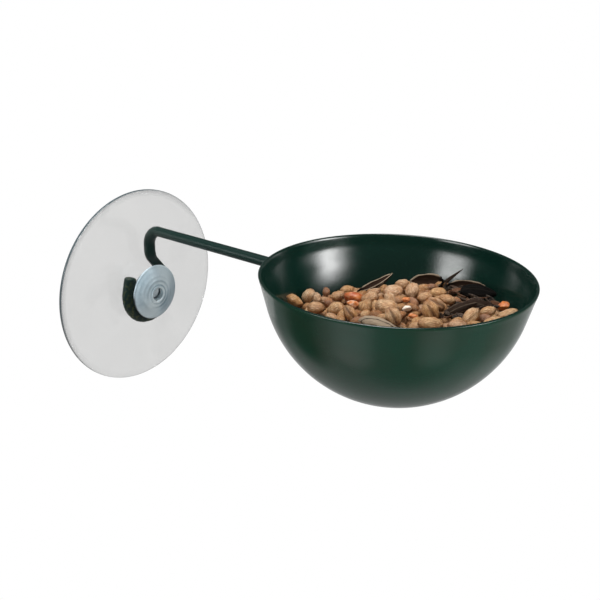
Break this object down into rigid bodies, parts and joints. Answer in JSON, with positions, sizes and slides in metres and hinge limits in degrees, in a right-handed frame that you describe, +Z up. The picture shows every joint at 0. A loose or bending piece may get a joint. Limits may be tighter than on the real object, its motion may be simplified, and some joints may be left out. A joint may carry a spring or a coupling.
{
  "type": "window bird feeder",
  "caption": "Round green metal bowl of mixed bird seed on a bent wire arm, hooked round the neck of a clear suction cup that holds it to a window pane.",
  "frame": {"origin": "middle of the suction cup's lip, on the face of the window pane", "axes": "+X away from the pane along the cup's neck and the arm, +Z up, +Y sideways along the pane"},
  "size_m": [0.1715, 0.09, 0.0816],
  "materials": {
    "clear_pvc": "clear soft PVC, glossy, faintly blue-grey",
    "green_coat": "dark green dipped coat on steel wire, satin, a little uneven",
    "green_enamel": "dark green gloss enamel on pressed steel sheet",
    "seed_bed": "settled mixed seed, dull",
    "wheat": "dry tan wheat grain, dull",
    "maize": "orange-red cracked maize, slightly waxy",
    "sunflower_shell": "dark striped sunflower shell, dull"
  },
  "bodies": {
    "cup": {"suction_cup": "clear_pvc"},
    "feeder": {"hook_arm": "green_coat", "weld_bead": "green_coat", "bowl": "green_enamel"},
    "seed_mix": {"seed_bed": "seed_bed", "sunflower_hull_01": "sunflower_shell", "sunflower_hull_02": "sunflower_shell", "sunflower_hull_03": "sunflower_shell", "sunflower_hull_04": "sunflower_shell", "sunflower_hull_05": "sunflower_shell", "sunflower_hull_06": "sunflower_shell", "sunflower_seed_01": "sunflower_shell", "husk_sliver_01": "sunflower_shell", "maize_piece_01": "maize", "maize_piece_02": "maize", "maize_piece_03": "maize", "maize_piece_04": "maize", "maize_piece_05": "maize", "maize_piece_06": "maize", "wheat_grain_01": "wheat", "wheat_grain_02": "wheat", "wheat_grain_03": "wheat", "wheat_grain_04": "wheat", "wheat_grain_05": "wheat", "wheat_grain_06": "wheat", "wheat_grain_07": "wheat", "wheat_grain_08": "wheat", "wheat_grain_09": "wheat", "wheat_grain_10": "wheat", "wheat_grain_11": "wheat", "wheat_grain_12": "wheat", "wheat_grain_13": "wheat", "wheat_grain_14": "wheat", "wheat_grain_15": "wheat", "wheat_grain_16": "wheat", "wheat_grain_17": "wheat", "wheat_grain_18": "wheat", "wheat_grain_19": "wheat", "wheat_grain_20": "wheat", "wheat_grain_21": "wheat", "wheat_grain_22": "wheat", "wheat_grain_23": "wheat", "wheat_grain_24": "wheat", "wheat_grain_25": "wheat", "wheat_grain_26": "wheat", "wheat_grain_27": "wheat", "wheat_grain_28": "wheat", "wheat_grain_29": "wheat", "wheat_grain_30": "wheat", "wheat_grain_31": "wheat", "wheat_grain_32": "wheat", "wheat_grain_33": "wheat", "wheat_grain_34": "wheat", "wheat_grain_35": "wheat", "wheat_grain_36": "wheat", "wheat_grain_37": "wheat", "wheat_grain_38": "wheat", "wheat_grain_39": "wheat", "wheat_grain_40": "wheat"}
  },
  "joints": [
    {"name": "hook_swivel", "type": "hinge", "parent": "cup", "child": "feeder", "pos_m": [0, 0, 0], "axis": [1, 0, 0], "continuous": true},
    {"name": "seed_lift", "type": "slide", "parent": "feeder", "child": "seed_mix", "axis": [0, 0, 1], "range_m": [0, 0.05]}
  ]
}
